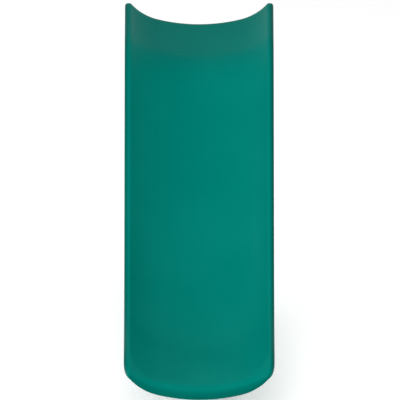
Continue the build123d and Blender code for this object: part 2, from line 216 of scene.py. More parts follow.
polyethylene = {
    "colour": (0.0, 0.142, 0.115),
    "light": (0.002, 0.170, 0.139),   # pigment drift and rubbed places
    "dark": (0.0, 0.118, 0.095),
    "roughness": 0.30,
    "insideRoughness": 0.52,
    "specular": 0.02,
    "specularTint": (0.03, 1.0, 0.86),
    "cloud": 2.6,                 # pigment clouds per metre
    "speck": 420.0,               # pigment specks per metre
    "peel": 260.0,                # orange-peel dimples per metre
    "drift": 14.0,                # slow waves of the skin per metre
    "rubLines": (260.0, 2.2, 1.0),    # per metre across and along the ride
    "scuff": 0.30,
    "paintedRimShade": 0.52,             # painted shade: the outer roll of each rim is darkened to this share of the bed's colour
    "paintedRimShadeBand": (0.295, 0.310),    # from the middle out: where that shade starts and is full
    "paintedLipShade": 0.70,             # the same painted shade for the front of the lip
    "paintedLipShadeBand": (1.860, 1.8745),   # from the deck out
}


def makePlastic(p, name, inside):
    material, shader = newMaterial(name, p["colour"], p["roughness"], specular=p["specular"])
    shader.inputs["Specular Tint"].default_value = (*p["specularTint"], 1)
    place = addNode(material, "ShaderNodeTexCoord")
    spot = place.outputs["Object"]
    along = place.outputs["UV"]
    cloud = noiseAt(material, spot, p["cloud"], 4.0)
    speck = noiseAt(material, spot, p["speck"], 1.0)
    colour = mixColour(material, rampOf(material, cloud, 0.0, 0.55, 0.35, 0.75), p["colour"], p["light"])
    colour = mixColour(material, rampOf(material, speck, 0.0, 0.35, 0.55, 0.8), colour, p["dark"])
    if inside:
        rough = rampOf(material, noiseAt(material, spot, 40.0, 5.0),
                       p["insideRoughness"] - 0.08, p["insideRoughness"] + 0.1)
        peel = noiseAt(material, spot, p["peel"] * 0.6, 4.0, roughness=0.65)
        addBump(material, shader, peel, 0.5, 0.0012)
    else:
        # rubbed lines follow the ride, strongest down the middle of the bed
        stripes = noiseAt(material, along, 1.0, 3.0, stretch=p["rubLines"])
        lines = rampOf(material, stripes, 0.0, 1.0, 0.6, 0.74)
        patches = rampOf(material, noiseAt(material, along, 5.0, 3.0), 0.0, 1.0, 0.45, 0.7)
        split = addNode(material, "ShaderNodeSeparateXYZ")
        link(material, along, split.inputs["Vector"])
        middle = rampOf(material, combine(material, "ABSOLUTE", split.outputs["X"]), 1.0, 0.0, 0.10, 0.26)
        scuff = combine(material, "MULTIPLY", combine(material, "MULTIPLY", lines, patches), middle)
        colour = mixColour(material, combine(material, "MULTIPLY", scuff, p["scuff"]), colour, p["light"])
        # painted shade: past the rim band in |x| and past the lip band in -y the colour is mixed towards
        # black
        sides = addNode(material, "ShaderNodeSeparateXYZ")
        link(material, spot, sides.inputs["Vector"])
        sideways = combine(material, "ABSOLUTE", sides.outputs["X"])
        outward = combine(material, "MULTIPLY", sides.outputs["Y"], -1.0)
        paintedRimShadeMask = rampOf(material, sideways, 0.0, 1.0 - p["paintedRimShade"], *p["paintedRimShadeBand"])
        paintedLipShadeMask = rampOf(material, outward, 0.0, 1.0 - p["paintedLipShade"], *p["paintedLipShadeBand"])
        shade = combine(material, "MAXIMUM", paintedRimShadeMask, paintedLipShadeMask)
        colour = mixColour(material, shade, colour, (0.0, 0.0, 0.0))
        cloudy = noiseAt(material, spot, 9.0, 4.0)
        rough = rampOf(material, cloudy, p["roughness"] - 0.05, p["roughness"] + 0.07, 0.3, 0.7)
        rough = combine(material, "ADD", rough, combine(material, "MULTIPLY", scuff, 0.06))
        peel = combine(material, "MULTIPLY", noiseAt(material, spot, p["peel"], 2.0, roughness=0.4), 0.10)
        drift = combine(material, "MULTIPLY", noiseAt(material, spot, p["drift"], 2.0), 0.6)
        addBump(material, shader, combine(material, "ADD", peel, drift), 0.28, 0.0022)
    link(material, colour, shader.inputs["Base Color"])
    link(material, rough, shader.inputs["Roughness"])
    return material


galvanised = {
    "colour": (0.50, 0.52, 0.53),
    "bright": (0.66, 0.68, 0.69),
    "dull": (0.36, 0.38, 0.39),
    "spangle": 75.0,              # zinc crystals per metre
    "roughness": 0.42,
}


def makeGalvanised(g):
    material, shader = newMaterial("hotDipZinc", g["colour"], g["roughness"], metallic=0.85)
    spot = addNode(material, "ShaderNodeTexCoord").outputs["Object"]
    crystals = addNode(material, "ShaderNodeTexVoronoi", {"Scale": g["spangle"]})
    link(material, spot, crystals.inputs["Vector"])
    grey = addNode(material, "ShaderNodeSeparateColor")
    link(material, crystals.outputs["Color"], grey.inputs["Color"])
    shade = grey.outputs[0]
    cloud = noiseAt(material, spot, 11.0, 5.0, roughness=0.6)
    colour = mixColour(material, rampOf(material, shade, 0.0, 0.7), g["colour"], g["bright"])
    colour = mixColour(material, rampOf(material, cloud, 0.0, 0.8, 0.48, 0.72), colour, g["dull"])
    rough = rampOf(material, shade, g["roughness"] - 0.1, g["roughness"] + 0.08)
    rough = combine(material, "ADD", rough, rampOf(material, cloud, 0.0, 0.16, 0.45, 0.75))
    grain = noiseAt(material, spot, 190.0, 4.0)
    height = combine(material, "ADD", grain, combine(material, "MULTIPLY", shade, 0.25))
    addBump(material, shader, height, 0.3, 0.0006)
    link(material, colour, shader.inputs["Base Color"])
    link(material, rough, shader.inputs["Roughness"])
    return material


metals = {                        # colour, darker patches, roughness, grain per metre
    "brightZinc": ((0.62, 0.63, 0.64), (0.45, 0.46, 0.48), 0.30, 700.0),
    "turnedBrass": ((0.72, 0.52, 0.22), (0.55, 0.38, 0.14), 0.32, 500.0),
}


def makeMetal(name, colour, darker, roughness, grain):
    material, shader = newMaterial(name, colour, roughness, metallic=1.0)
    spot = addNode(material, "ShaderNodeTexCoord").outputs["Object"]
    cloud = noiseAt(material, spot, 130.0, 4.0, roughness=0.6)
    tint = mixColour(material, rampOf(material, cloud, 0.0, 0.8, 0.4, 0.75), colour, darker)
    rough = rampOf(material, noiseAt(material, spot, 300.0, 3.0), roughness - 0.08, roughness + 0.12)
    addBump(material, shader, noiseAt(material, spot, grain, 3.0), 0.25, 0.0002)
    link(material, tint, shader.inputs["Base Color"])
    link(material, rough, shader.inputs["Roughness"])
    return material


blacks = {                        # colour, paler dust, roughness, grain per metre, grain depth
    "blackRubber": ((0.022, 0.022, 0.023), (0.050, 0.050, 0.050), 0.72, 420.0, 0.0004),
    "blackCapPlastic": ((0.026, 0.026, 0.028), (0.042, 0.042, 0.044), 0.46, 650.0, 0.00025),
}


def makeMatt(name, colour, paler, roughness, grain, depth):
    material, shader = newMaterial(name, colour, roughness, specular=0.4)
    spot = addNode(material, "ShaderNodeTexCoord").outputs["Object"]
    dust = noiseAt(material, spot, 34.0, 5.0, roughness=0.65)
    tint = mixColour(material, rampOf(material, dust, 0.0, 0.7, 0.45, 0.8), colour, paler)
    rough = rampOf(material, dust, roughness - 0.06, roughness + 0.1)
    addBump(material, shader, noiseAt(material, spot, grain, 3.0), 0.5, depth)
    link(material, tint, shader.inputs["Base Color"])
    link(material, rough, shader.inputs["Roughness"])
    return material


plastic = makePlastic(polyethylene, "seaGreenGloss", False)
plasticInside = makePlastic(polyethylene, "seaGreenInside", True)
steel = makeGalvanised(galvanised)
zinc = makeMetal("brightZinc", *metals["brightZinc"])
brass = makeMetal("turnedBrass", *metals["turnedBrass"])
rubber = makeMatt("blackRubber", *blacks["blackRubber"])
capPlastic = makeMatt("blackCapPlastic", *blacks["blackCapPlastic"])
print("materials made")

trough = {
    "halfWidth": 0.315,
    "sideHeight": 0.102,          # rim top above the middle of the bed
    "bedEdgeAngle": math.radians(15.4),
    "wallAngle": math.radians(51.2),
    "rimRadius": 0.014,
    "rimFlat": 0.0035,
    "rimDrop": 0.032,
    "skin": 0.006,
    "edgeBevel": 0.0012,
    "lipRadius": 0.042,
    "lipSkirt": 0.008,
    "cornerAcross": 0.028,
    "cornerAlong": 0.093,
    "innerCornerAcross": 0.110,   # the border swings in towards the lip round these
    "innerCornerAlong": 0.150,
    "bedColumns": 44,
    "sideColumns": 16,
    "rimColumns": 9,
    "entryRows": 14,
    "crestRows": 26,
    "slopeRows": 40,
    "hollowRows": 40,
    "exitRows": 22,
    "lipRows": 26,
    "skirtRows": 3,
}


# two radii from two slopes: the bed's arc and the side's arc join at bedEdgeAngle, and the side's arc reaches
# the rim at wallAngle
def solveSection(t):
    x = t["halfWidth"] - t["rimRadius"] - t["rimFlat"]
    z = t["sideHeight"] - t["rimRadius"]
    s1, c1 = math.sin(t["bedEdgeAngle"]), math.cos(t["bedEdgeAngle"])
    s2, c2 = math.sin(t["wallAngle"]), math.cos(t["wallAngle"])
    reach = x - t["rimRadius"] * s2
    rise = z + t["rimRadius"] * c2
    det = s1 * (c1 - c2) - (1 - c1) * (s2 - s1)
    bed = (reach * (c1 - c2) - rise * (s2 - s1)) / det
    side = (s1 * rise - (1 - c1) * reach) / det
    return bed, side, x, z


bedRadius, sideRadius, rimX, rimZ = solveSection(trough)


# point of the section where its slope is the given angle: centre + (radius + depth) * direction
def arcPoint(depth, angle):
    edge = trough["bedEdgeAngle"]
    steep = np.abs(angle)
    onSide = steep > edge
    radius = np.where(onSide, sideRadius, bedRadius) + depth
    centreX = np.where(onSide, (bedRadius - sideRadius) * math.sin(edge), 0.0)
    centreZ = np.where(onSide, bedRadius - (bedRadius - sideRadius) * math.cos(edge), bedRadius)
    return np.sign(angle) * (centreX + radius * np.sin(steep)), centreZ - radius * np.cos(steep)


def bedHeight(x):
    return bedRadius - np.sqrt(bedRadius ** 2 - np.square(x))


# whole section from left to right: outer roll, level strip, inner roll, side arc, bed arc, and the same again
def wholeSection(t):
    bedAngles = np.linspace(0, t["bedEdgeAngle"], t["bedColumns"] // 2 + 1)
    sideAngles = np.linspace(t["bedEdgeAngle"], t["wallAngle"], t["sideColumns"] + 1)[1:]
    x, z = arcPoint(0.0, np.concatenate([bedAngles, sideAngles]))
    inner = np.linspace(-t["wallAngle"], 0, t["rimColumns"] + 1)[1:]
    outer = np.linspace(0, math.pi / 2, t["rimColumns"] + 1)
    r = t["rimRadius"]
    x = np.concatenate([x, rimX + r * np.sin(inner), rimX + t["rimFlat"] + r * np.sin(outer)])
    z = np.concatenate([z, rimZ + r * np.cos(inner), rimZ + r * np.cos(outer)])
    return np.concatenate([-x[:0:-1], x]), np.concatenate([z[:0:-1], z])


# y, z and tilt along the bed line, from the deck down to the start of the level exit
def rideStations(r, f, t):
    a = r["slopeAngle"]
    entry = np.linspace(0, r["entryLength"], t["entryRows"] + 1)
    crest = np.linspace(0, a, t["crestRows"] + 1)[1:]
    slope = np.linspace(0, f["run"], t["slopeRows"] + 1)[1:]
    hollow = np.linspace(a, 0, t["hollowRows"] + 1)[1:]
    y = [r["deckEndY"] - entry, f["entryEnd"] - r["crestRadius"] * np.sin(crest),
         f["slopeStart"][0] - slope * math.cos(a), f["exitStart"] + r["hollowRadius"] * np.sin(hollow)]
    z = [np.full(entry.shape, r["bedZ"]), r["bedZ"] - r["crestRadius"] * (1 - np.cos(crest)),
         f["slopeStart"][1] - slope * math.sin(a), f["exitZ"] + r["hollowRadius"] * (1 - np.cos(hollow))]
    tilt = [np.zeros(entry.shape), crest, np.full(slope.shape, a), hollow]
    return np.concatenate(y), np.concatenate(z), np.concatenate(tilt)


# Top skin. Down to the level exit it is the section carried along the bed line. From there each column keeps
# its own x and ends on the rounded outline; it falls by a quarter of an ellipse that starts on an inner line,
# so the border is widest round the corners, and then drops straight as the skirt.
def chuteGrid(r, f, t):
    x, h = wholeSection(t)
    y, z, tilt = rideStations(r, f, t)
    top = np.zeros((len(y), len(x), 3))
    top[:, :, 0] = x[None, :]
    top[:, :, 1] = y[:, None] - h[None, :] * np.sin(tilt)[:, None]
    top[:, :, 2] = z[:, None] + h[None, :] * np.cos(tilt)[:, None]
    outer = np.clip((np.abs(x) - (t["halfWidth"] - t["cornerAcross"])) / t["cornerAcross"], 0, 1)
    edge = np.sqrt(1 - outer ** 2)
    tipY = f["exitEnd"] - t["lipRadius"] + t["cornerAlong"] * (1 - edge)
    innerX = t["halfWidth"] - t["cornerAcross"] - t["innerCornerAcross"]
    inner = np.clip((np.abs(x) - innerX) / t["innerCornerAcross"], 0, 1)
    startY = f["exitEnd"] + t["innerCornerAlong"] * (1 - np.sqrt(1 - inner ** 2))
    fall = t["lipRadius"] * edge
    level = np.linspace(0, 1, t["exitRows"] + 1)[1:, None]
    flatY = f["exitStart"] + (startY - f["exitStart"])[None, :] * level
    flatZ = np.broadcast_to(f["exitZ"] + h, flatY.shape)
    flat = np.stack([np.broadcast_to(x, flatY.shape), flatY, flatZ], axis=-1)
    turn = np.linspace(0, math.pi / 2, t["lipRows"] + 1)[1:, None]
    rollY = startY + (tipY - startY) * np.sin(turn)
    rollZ = f["exitZ"] + h - fall * (1 - np.cos(turn))
    roll = np.stack([np.broadcast_to(x, rollY.shape), rollY, rollZ], axis=-1)
    low = np.linspace(0, 1, t["skirtRows"] + 1)[1:, None]
    reach = t["lipSkirt"] + (t["rimDrop"] - t["rimRadius"] - t["lipSkirt"]) * outer ** 2
    skirtZ = f["exitZ"] + h - fall - reach * low
    skirt = np.stack([np.broadcast_to(x, skirtZ.shape), np.broadcast_to(tipY, skirtZ.shape), skirtZ], axis=-1)
    return np.concatenate([top, flat, roll, skirt], axis=0), tilt


def runLength(points, axis):
    steps = np.linalg.norm(np.diff(points, axis=axis), axis=-1)
    start = np.zeros_like(np.take(steps, [0], axis=axis))
    return np.cumsum(np.concatenate([start, steps], axis=axis), axis=axis)


# skin = top grid plus a straight side skirt under each rim; the walls get their thickness inwards
def makeChute(r, f, t):
    points, tilt = chuteGrid(r, f, t)
    rows, columns = points.shape[:2]
    across = runLength(points, 1)
    across = across - across[:, [columns // 2]]
    surface = np.stack([across, runLength(points, 0)], axis=-1)
    parts = [points.reshape(-1, 3)]
    faces = [gridFaces(rows, columns, flip=True)]
    maps = [surface.reshape(-1, 2)]
    count = rows * columns
    last = rows - t["skirtRows"]
    slope = np.zeros(last)
    slope[:len(tilt)] = tilt
    down = np.stack([np.zeros(last), np.sin(slope), -np.cos(slope)], axis=-1)
    low = np.linspace(0, 1, t["skirtRows"] + 1)[:, None, None] * (t["rimDrop"] - t["rimRadius"])
    for column, flip in ((0, True), (columns - 1, False)):
        strip = points[None, :last, column] + low * down[None, :, :]
        stripMap = np.broadcast_to(surface[None, :last, column], strip.shape[:2] + (2,)).copy()
        stripMap[:, :, 0] += low[:, :, 0] * (1 if column else -1)
        parts.append(strip.reshape(-1, 3))
        maps.append(stripMap.reshape(-1, 2))
        faces.append(gridFaces(t["skirtRows"] + 1, last, flip) + count)
        count += strip.shape[0] * strip.shape[1]
    piece = addPiece("chuteShell", np.concatenate(parts), np.concatenate(faces), [plastic, plasticInside],
                     replaced=["chute"], slot="chute", weld=1e-5, uv=np.concatenate(maps), sharp=60)
    wall = piece.modifiers.new("skin", "SOLIDIFY")
    wall.thickness = t["skin"]
    wall.offset = -1
    wall.use_even_offset = True
    wall.material_offset = 1
    edge = piece.modifiers.new("edge", "BEVEL")
    edge.width = t["edgeBevel"]
    edge.segments = 2
    edge.limit_method = "ANGLE"
    edge.angle_limit = math.radians(60)
    return piece


chute = makeChute(ride, facts, trough)

bosses = {
    "x": 0.100,
    "half": (0.030, 0.025),       # half width and half length at the foot
    "depth": 0.026,               # foot below the bed
    "footRadius": 0.0025,
    "flare": 0.011,               # how far the fillet spreads under the skin
    "filletDepth": 0.012,
    "corner": 5.0,                # squareness of the outline
}

bearers = {
    "entryAt": 0.140,
    "exitBack": 0.150,
    "onSlope": 3,
    "width": 0.050,
    "depth": 0.025,
    "wall": 0.0025,
    "strip": 0.003,
    "halfLength": 0.165,
}


def bearerSpots(r, f, b):
    a = r["slopeAngle"]
    spots = [(r["deckEndY"] - b["entryAt"], r["bedZ"], 0.0)]
    for k in range(b["onSlope"]):
        s = f["run"] * (k + 0.5) / b["onSlope"]
        spots.append((f["slopeStart"][0] - s * math.cos(a), f["slopeStart"][1] - s * math.sin(a), a))
    spots.append((f["exitEnd"] + b["exitBack"], f["exitZ"], 0.0))
    return spots


bearerAt = bearerSpots(ride, facts, bearers)


# outline of a squarish ring: sign(cos) * |cos| ^ (2/n) and sign(sin) * |sin| ^ (2/n)
def squareRing(count, n):
    angle = np.linspace(0, 2 * math.pi, count, endpoint=False)
    c, s = np.cos(angle), np.sin(angle)
    return np.sign(c) * np.abs(c) ** (2 / n), np.sign(s) * np.abs(s) ** (2 / n)


# one boss: rings grow from the centre of the foot, round its edge, up the side and out along the fillet,
# and a last ring of no size closes it within the skin; the foot is level and the upper rings follow the bed
def makeBosses(b, t, spots):
    ringX, ringY = squareRing(72, b["corner"])
    r, low, top = b["footRadius"], -b["depth"], -t["skin"] * 0.6
    bend = np.linspace(0, math.pi / 2, 5)
    fillet = np.linspace(0, math.pi / 2, 9)
    grow = np.concatenate([[-b["half"][0], -b["half"][0] * 0.5], r * (np.sin(bend) - 1),
                           b["flare"] * (1 - np.cos(fillet)), [-b["half"][0]]])
    height = np.concatenate([[low, low], low + r * (1 - np.cos(bend)),
                             top - b["filletDepth"] * (1 - np.sin(fillet)), [top]])
    halfX = np.maximum(b["half"][0] + grow, 0.0)[:, None]
    halfY = np.maximum(b["half"][1] + grow, 0.0)[:, None]
    faces = gridFaces(len(grow), len(ringX), ringed=True)
    grids = []
    for side in (-1, 1):
        px = halfX * ringX[None, :]
        pz = np.broadcast_to(height[:, None], px.shape)
        pz = pz + np.clip((pz - low) / (top - low), 0, 1) * bedHeight(px + side * b["x"])
        shape = np.stack([px, halfY * ringY[None, :], pz], axis=-1)
        places = [surfaceSpot(y, z, tilt, (side * b["x"], 0, 0)) for y, z, tilt in spots]
        grids.append(copies(shape, faces, places))
    points, quads = joinGrids(grids)
    addPiece("mouldedBosses", points, quads, [plasticInside], replaced=["chute"], slot="chute", weld=1e-6)


makeBosses(bosses, trough, bearerAt)

endFlange = {
    "depth": 0.044,
    "thick": 0.006,
    "edge": 0.0022,
    "fillet": 0.009,
    "columns": 81,
}


# flange under the deck end: an upright profile carried along the section's arcs, cut off at the rims
def makeEndFlange(e, r, t):
    angle = np.linspace(-t["wallAngle"], t["wallAngle"], e["columns"])
    bend = np.linspace(0, math.pi / 2, 5)
    curl = np.linspace(0, math.pi / 2, 7)
    back, front = r["deckEndY"], r["deckEndY"] - e["thick"]
    foot = e["depth"] - e["edge"]
    hidden = t["skin"] * 0.5
    depth = np.concatenate([[hidden], foot + e["edge"] * np.sin(bend), foot + e["edge"] * np.cos(bend),
                            t["skin"] + e["fillet"] * (1 - np.sin(curl)), [hidden, hidden]])
    y = np.concatenate([[back], back - e["edge"] * (1 - np.cos(bend)), front + e["edge"] * (1 - np.sin(bend)),
                        front - e["fillet"] * (1 - np.cos(curl)), [front - e["fillet"], back]])
    px, pz = arcPoint(depth[:, None], angle[None, :])
    px = np.clip(px, -rimX, rimX)
    points = np.stack([px, np.broadcast_to(y[:, None], px.shape), r["bedZ"] + pz], axis=-1)
    start = np.arange(len(depth)) * len(angle)
    addPiece("endFlange", points, gridFaces(len(depth), len(angle)), [plasticInside],
             replaced=["chute"], slot="chute", weld=1e-6, caps=[start, (start + len(angle) - 1)[::-1]])


makeEndFlange(endFlange, ride, trough)

fasteners = {
    "acrossFlats": 0.013,
    "headHeight": 0.0053,
    "nutHeight": 0.0065,
    "threadRadius": 0.004,
    "threadPitch": 0.00125,
    "threadDepth": 0.00045,
    "beyondNut": 0.003,
    "intoInsert": 0.014,
    "turned": 0.94,               # diameter of a head's flat face over its flats
    "boreEdge": 0.0004,
    "nutFit": 0.00015,
    "washerRadius": 0.008,
    "washerThick": 0.0016,
    "washerEdge": 0.0003,
    "holeRadius": 0.0045,
    "screwHeadRadius": 0.0076,
    "screwHeadDepth": 0.0036,
    "screwSocket": 0.0025,        # half the hexagon socket's across flats
    "socketDepth": 0.0022,
    "screwEdge": 0.0002,
}


def ringGrid(radii, heights, count):
    angle = np.linspace(0, 2 * math.pi, count, endpoint=False)
    heights = np.asarray(heights, float)
    heights = heights if heights.ndim == 2 else heights[:, None]
    radii = np.asarray(radii, float)
    radii = radii if radii.ndim == 2 else radii[:, None]
    radii, heights = np.broadcast_arrays(radii, heights)
    radii = np.broadcast_to(radii, (radii.shape[0], count))
    heights = np.broadcast_to(heights, radii.shape)
    return np.stack([radii * np.cos(angle), radii * np.sin(angle), heights], axis=-1)


# hexagon with turned corners: a side's reach is half the flats over the cosine within its sixth of a turn,
# and where it passes the turned circle its face falls away at 30 degrees
def hexGrid(f, height, bore, bothEnds):
    count = 72
    angle = np.linspace(0, 2 * math.pi, count, endpoint=False)
    reach = f["acrossFlats"] / 2 / np.cos((angle + math.pi / 6) % (math.pi / 3) - math.pi / 6)
    turned = f["acrossFlats"] / 2 * f["turned"]
    fall = np.maximum(reach - turned, 0) * math.tan(math.radians(30))
    one = np.ones(count)
    rise = fall if bothEnds else 0 * one
    edge = bore + f["boreEdge"] if bore else 0.0
    rows = [(edge * one, 0 * one), (turned * one, 0 * one), (reach, rise), (reach, 0.5 * height * one),
            (reach, height - fall), (turned * one, height * one), (edge * one, height * one)]
    if bore:
        rows += [(bore * one, (height - f["boreEdge"]) * one), (bore * one, f["boreEdge"] * one),
                 (edge * one, 0 * one)]
    radii = np.array([row[0] for row in rows])
    heights = np.array([row[1] for row in rows])
    return ringGrid(radii, heights, count), gridFaces(len(rows), count, ringed=True)


# thread from z = 0 to its tip at z = length, closed at both ends: the radius is a triangle wave of
# height / pitch - turn
def threadGrid(radius, length, f):
    count = 36
    rows = max(8, int(length / f["threadPitch"] * 8))
    z = np.linspace(0, length, rows)
    angle = np.linspace(0, 2 * math.pi, count, endpoint=False)
    phase = (z[:, None] / f["threadPitch"] - angle[None, :] / (2 * math.pi)) % 1.0
    wave = 1 - np.abs(2 * phase - 1)
    fade = np.clip((length - z) / (1.2 * f["threadPitch"]), 0, 1)[:, None]
    r = radius - f["threadDepth"] * (1 - wave * fade) - 0.0002 * (1 - fade)
    r = np.concatenate([np.zeros((1, count)), r, np.zeros((1, count))])
    return ringGrid(r, np.concatenate([[0], z, [length]]), count), gridFaces(rows + 2, count, ringed=True)


def washerGrid(f):
    r0, r1, h, e = f["holeRadius"], f["washerRadius"], f["washerThick"], f["washerEdge"]
    radii = [r0, r0, r0 + e, r1 - e, r1, r1, r1 - e, r0 + e, r0]
    heights = [h / 2, e, 0, 0, e, h - e, h, h, h - e]
    radii, heights = radii + radii[:1], heights + heights[:1]
    return ringGrid(radii, heights, 48), gridFaces(len(radii), 48, ringed=True)


# a fastener seat: local z is the screw's direction, towards its head
def seat(turn, place, shift):
    return turn, place + turn @ np.array([0.0, 0.0, shift])


headDown = turnTo((1, 0, 0), (0, -1, 0), (0, 0, -1))


# bolts from below each bearer: head down, shank up through the bearer into the insert
def makeChuteBolts(f, b, spots):
    under = -(bosses["depth"] + b["strip"] + b["depth"]) - f["washerThick"]
    shank = threadGrid(f["threadRadius"], -under - bosses["depth"] + f["intoInsert"], f)
    shank = (shank[0] * np.array([1, 1, -1]), shank[1][:, ::-1])
    bolt = joinGrids([hexGrid(f, f["headHeight"], 0.0, False), shank])
    boltSpots, washerSpots = [], []
    for y, z, tilt in spots:
        for side in (-1, 1):
            turn, place = surfaceSpot(y, z, tilt, (side * bosses["x"], 0, under))
            boltSpots.append((turn @ headDown, place))
            washerSpots.append((turn, place))
    addPiece("chuteBolts", *copies(*bolt, boltSpots), [zinc], replaced=["chute_bolts"],
             slot="fastener", weld=1e-7)
    addPiece("chuteWashers", *copies(*joinGrids([washerGrid(f)]), washerSpots), [zinc],
             replaced=["chute_washers"], slot="fastener", weld=1e-7)


makeChuteBolts(fasteners, bearers, bearerAt)

flangeJoint = {
    "x": (0.080, 0.210),
    "below": 0.027,               # screw line below the sliding surface
    "bracket": 0.006,
}


# countersunk screw from the deck side; its socket is a hexagon sunk into the head
def screwGrid(f, length):
    count = 72
    angle = np.linspace(0, 2 * math.pi, count, endpoint=False)
    socket = f["screwSocket"] / np.cos((angle + math.pi / 6) % (math.pi / 3) - math.pi / 6)
    one = np.ones(count)
    head, depth = f["screwHeadRadius"], f["screwHeadDepth"]
    deep, e = f["socketDepth"], f["screwEdge"]
    rows = [(0 * one, -deep), (socket * 0.96, -deep), (socket, -deep * 0.9), (socket, -e),
            (socket + e, 0.0), ((head - 1.5 * e) * one, 0.0), (head * one, -e),
            (f["threadRadius"] * one, -depth), (0 * one, -depth)]
    radii = np.array([row[0] for row in rows])
    heights = np.array([row[1] for row in rows])
    top = (ringGrid(radii, heights, count), gridFaces(len(rows), count, ringed=True, flip=True))
    shank = threadGrid(f["threadRadius"], length - depth, f)
    shank = (shank[0] * np.array([1, 1, -1]) - np.array([0, 0, depth]), shank[1][:, ::-1])
    return joinGrids([top, shank])


def flangeSpots(j):
    x = np.array([side * away for away in j["x"] for side in (-1, 1)])
    steep = np.linspace(0, trough["wallAngle"], 400)
    curveX, curveZ = arcPoint(0.0, steep)
    return x, ride["bedZ"] + np.interp(np.abs(x), curveX, curveZ) - j["below"]


def makeFlangeJoint(f, j):
    x, z = flangeSpots(j)
    facing = turnTo((1, 0, 0), (0, 0, -1), (0, 1, 0))     # local z looks back into the deck
    face = ride["deckEndY"] - endFlange["thick"]
    length = j["bracket"] + endFlange["thick"] + f["washerThick"] + f["nutHeight"] + f["beyondNut"]

    def at(depth):
        return [(facing, np.array([px, depth, pz])) for px, pz in zip(x, z)]

    addPiece("flangeScrews", *copies(*screwGrid(f, length), at(0.0)), [zinc], replaced=["flange_screws"],
             slot="fastener", weld=1e-7)
    addPiece("flangeWashers", *copies(*joinGrids([washerGrid(f)]), at(face - f["washerThick"])), [zinc],
             replaced=["flange_washers"], slot="fastener", weld=1e-7)
    nut = joinGrids([hexGrid(f, f["nutHeight"], f["threadRadius"] + f["nutFit"], True)])
    addPiece("flangeNuts", *copies(*nut, at(face - f["washerThick"] - f["nutHeight"])), [zinc],
             replaced=["flange_nuts"], slot="fastener", weld=1e-7)


makeFlangeJoint(fasteners, flangeJoint)

legs = {
    "x": 0.115,
    "back": 0.320,                # centre behind the end of the level exit
    "size": 0.040,
    "wall": 0.003,
    "railX": 0.150,
    "railWidth": 0.030,
    "railWall": 0.003,
    "railTop": -0.054,            # below the sliding surface
    "railBottom": -0.104,
    "boltSpacing": 0.024,
    "plateThick": 0.008,
    "brace": (0.030, 0.020),
}


# how far a rail's middle has risen where a leg meets it: radius - sqrt(radius^2 - reach^2)
def legFacts(g, r, f):
    middle = (g["railTop"] + g["railBottom"]) / 2
    hollow = r["hollowRadius"] - middle
    into = max(0.0, g["back"] - r["exitLength"])
    return f["exitEnd"] + g["back"], f["exitZ"] + middle + hollow - math.sqrt(hollow ** 2 - into ** 2)


legY, legJointZ = legFacts(legs, ride, facts)


def makeLegBolts(f, g):
    grip = g["railWidth"] + g["size"]
    length = 2 * f["washerThick"] + grip + f["nutHeight"] + f["beyondNut"]
    shank = threadGrid(f["threadRadius"], length, f)
    shank = (shank[0] * np.array([1, 1, -1]), shank[1][:, ::-1])
    bolt = joinGrids([hexGrid(f, f["headHeight"], 0.0, False), shank])
    nut = joinGrids([hexGrid(f, f["nutHeight"], f["threadRadius"] + f["nutFit"], True)])
    spots = []
    for side in (-1, 1):
        turn = turnTo((0, side, 0), (0, 0, 1), (side, 0, 0))      # local z looks outwards
        for z in (legJointZ - g["boltSpacing"] / 2, legJointZ + g["boltSpacing"] / 2):
            spots.append((turn, np.array([side * (g["railX"] + g["railWidth"] / 2), legY, z])))
    heads = [seat(turn, place, f["washerThick"]) for turn, place in spots]
    outer = [seat(turn, place, 0.0) for turn, place in spots]
    inner = [seat(turn, place, -grip - f["washerThick"]) for turn, place in spots]
    nuts = [seat(turn, place, -grip - f["washerThick"] - f["nutHeight"]) for turn, place in spots]
    addPiece("legBolts", *copies(*bolt, heads), [zinc], replaced=["leg_bolts"], slot="fastener", weld=1e-7)
    addPiece("legWashers", *copies(*joinGrids([washerGrid(f)]), outer + inner), [zinc],
             replaced=["leg_washers"], slot="fastener", weld=1e-7)
    addPiece("legNuts", *copies(*nut, nuts), [zinc], replaced=["leg_nuts"], slot="fastener", weld=1e-7)


makeLegBolts(fasteners, legs)

tubeCaps = {
    "head": 0.003,
    "plug": 0.010,
    "fit": 0.00015,
    "squareness": 9.0,
    "crown": 0.0008,              # how much the head bulges in its middle
    "edge": 0.0009,
    "plugTaper": 0.001,
}


# cap: rings from the crowned middle of its head, over a rounded edge, in under the head and down the plug
def capGrid(c, width, depth, wall):
    ringX, ringY = squareRing(88, c["squareness"])
    halfX, halfY = width / 2, depth / 2
    inX, inY = halfX - wall - c["fit"], halfY - wall - c["fit"]
    h, e, taper = c["head"], c["edge"], c["plugTaper"]
    bend = np.linspace(0, math.pi / 2, 5)
    shares = np.array([0.0, 0.3, 0.6, 0.85])
    x = np.concatenate([shares * (halfX - e), halfX - e + e * np.sin(bend),
                        [halfX, halfX - 0.0002, inX, inX, inX - taper, 0]])
    y = np.concatenate([shares * (halfY - e), halfY - e + e * np.sin(bend),
                        [halfY, halfY - 0.0002, inY, inY, inY - taper, 0]])
    z = np.concatenate([h - c["crown"] * shares ** 2, h - c["crown"] - e * (1 - np.cos(bend)),
                        [0.0002, 0, 0, -c["plug"] + taper, -c["plug"], -c["plug"]]])
    px, py = x[:, None] * ringX[None, :], y[:, None] * ringY[None, :]
    points = np.stack([px, py, np.broadcast_to(z[:, None], px.shape)], axis=-1)
    return joinGrids([(points, gridFaces(len(z), len(ringX), flip=True, ringed=True))])


